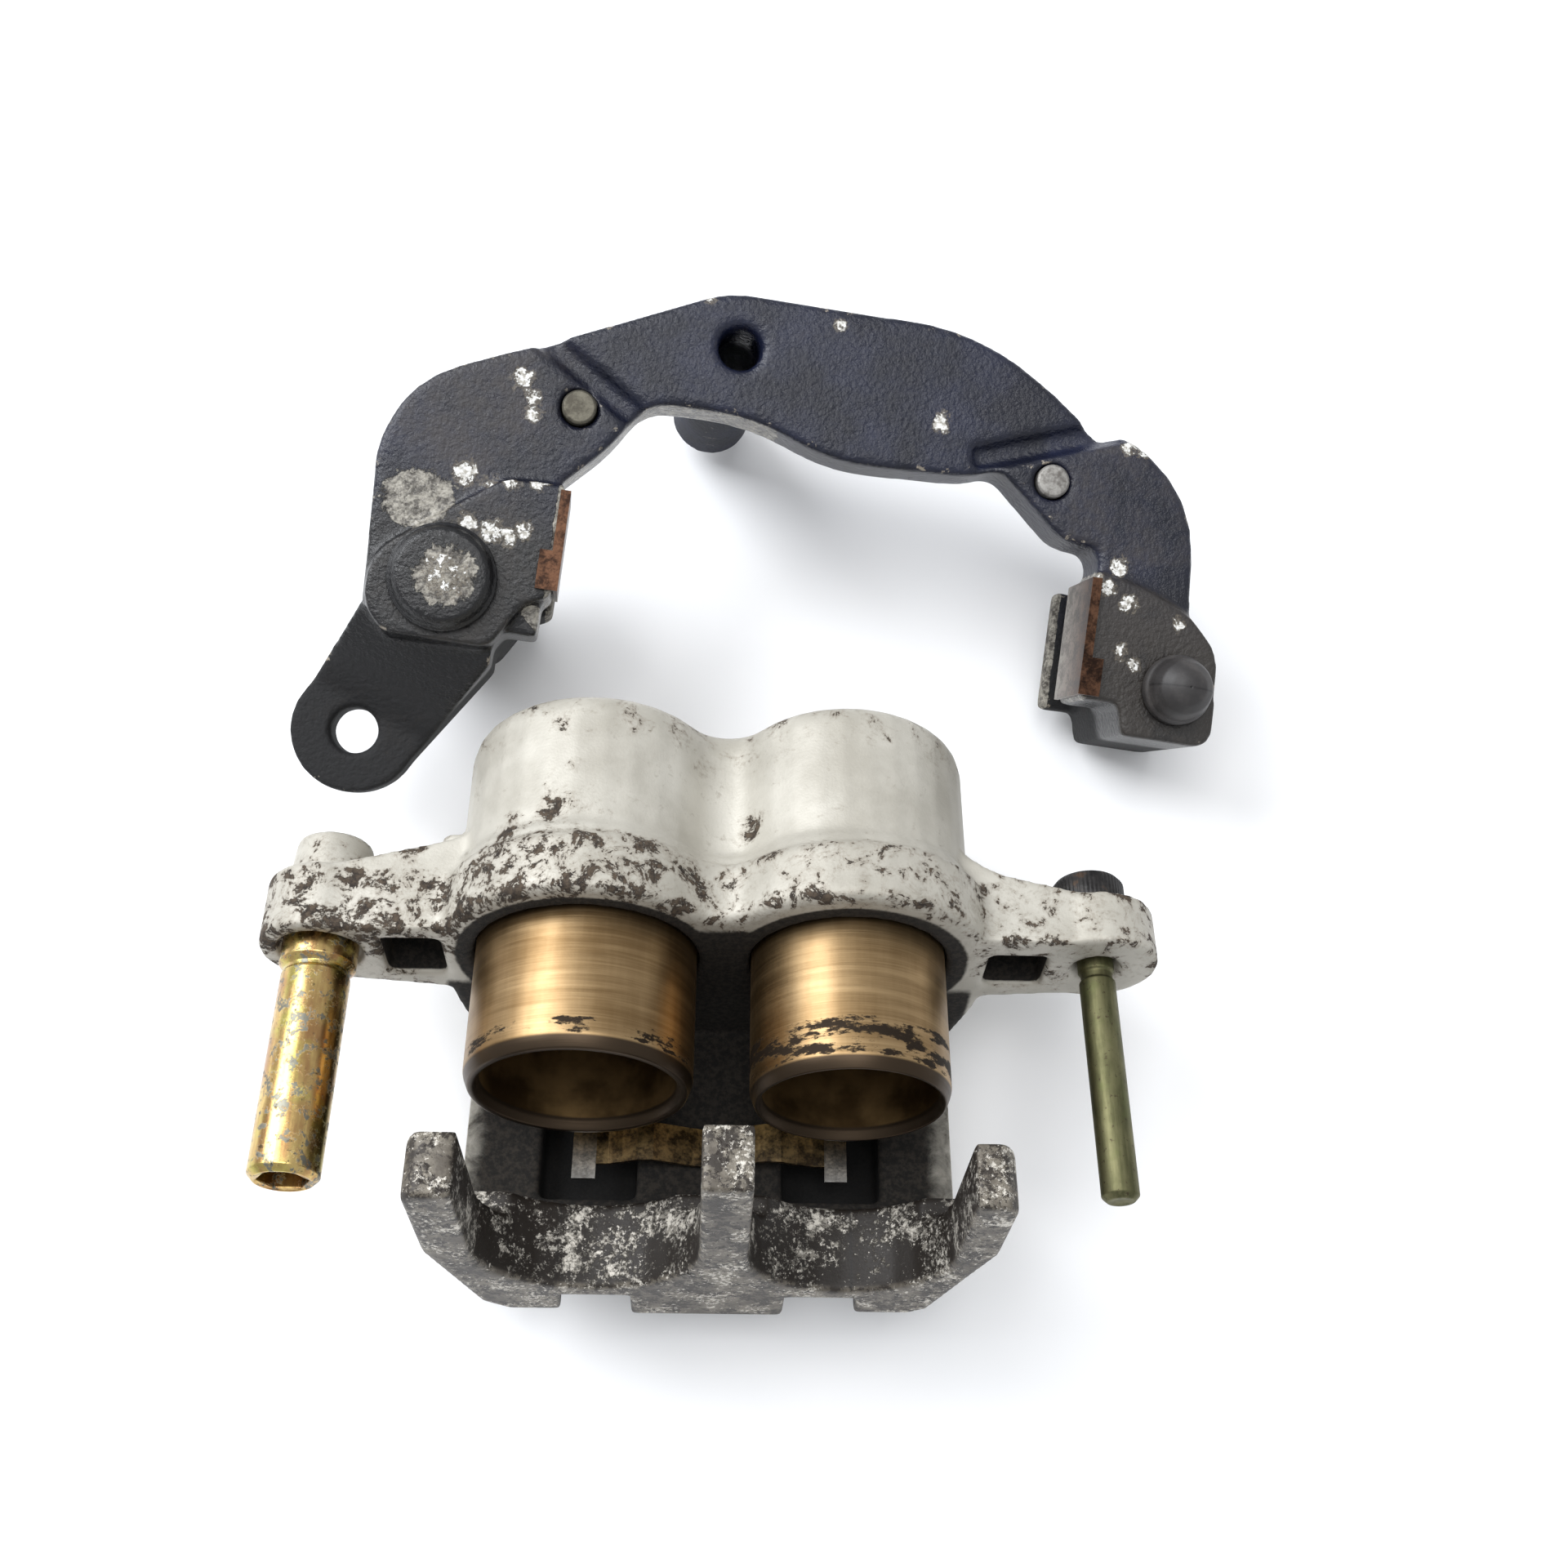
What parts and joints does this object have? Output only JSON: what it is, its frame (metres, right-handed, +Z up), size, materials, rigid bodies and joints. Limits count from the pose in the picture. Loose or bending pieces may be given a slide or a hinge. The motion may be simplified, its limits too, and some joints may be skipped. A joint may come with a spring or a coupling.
{
  "type": "brake caliper",
  "caption": "Floating disc brake caliper with side-by-side pistons, shown off its mounting bracket: silver body with claw and slide pins, and a black arched bracket behind it.",
  "frame": {"origin": "on the bench under the middle of the whole object", "axes": "+X to the right along the pistons row, +Y from the open piston cups back towards the bracket, +Z up"},
  "size_m": [0.173, 0.1898, 0.0794],
  "materials": {
    "silver_paint": "silver paint over cast aluminium, chipped, with dark brake dust",
    "black_paint": "satin black paint over cast iron, worn at the edges",
    "bronze_anodised": "bronze hard-anodised, brushed in rings",
    "yellow_zinc": "yellow zinc plating, spotted",
    "olive_zinc": "olive zinc plating",
    "black_steel": "black oxide",
    "bare_steel": "bare steel, dull",
    "spring_steel": "spring steel with a copper-brown tarnish",
    "rubber": "matt black rubber"
  },
  "bodies": {
    "caliper": {"caliper_body": "silver_paint", "large_dust_seal": "rubber", "large_pressure_seal": "rubber", "small_dust_seal": "rubber", "small_pressure_seal": "rubber", "main_slide_pin": "yellow_zinc", "thin_slide_pin": "olive_zinc", "thin_pin_bolt": "black_steel", "pad_spring": "spring_steel", "passage_plug": "bare_steel"},
    "large_piston": {"piston_large": "bronze_anodised"},
    "small_piston": {"piston_small": "bronze_anodised"},
    "bleeder": {"bleed_screw": "yellow_zinc"},
    "bleeder_cap": {"bleed_cap": "rubber"},
    "carrier": {"bracket": "black_paint", "left_dowel": "bare_steel", "right_dowel": "bare_steel", "main_bore_cap": "black_paint", "main_pin_boot": "rubber", "thin_pin_sleeve": "rubber", "left_outer_pad_clip": "spring_steel", "right_outer_pad_clip": "spring_steel"}
  },
  "joints": [
    {"name": "large_piston_slide", "type": "slide", "parent": "caliper", "child": "large_piston", "axis": [0.0005, -0.9528, 0.3037], "range_m": [-0.0225, 0.002]},
    {"name": "small_piston_slide", "type": "slide", "parent": "caliper", "child": "small_piston", "axis": [0.0005, -0.9528, 0.3037], "range_m": [-0.0235, 0.002]},
    {"name": "bleed_screw_turn", "type": "hinge", "parent": "caliper", "child": "bleeder", "pos_m": [-0.02916, 0.00527, 0.01639], "axis": [-0.0005, 0.9528, -0.3037], "range_deg": [0, 360]},
    {"name": "bleed_cap_pull", "type": "slide", "parent": "bleeder", "child": "bleeder_cap", "axis": [-0.0005, 0.9528, -0.3037], "range_m": [0, 0.012]},
    {"name": "carrier_float", "type": "slide", "parent": "caliper", "child": "carrier", "axis": [0.1283, -0.238, 0.9628], "range_m": [0, 0.015]}
  ]
}
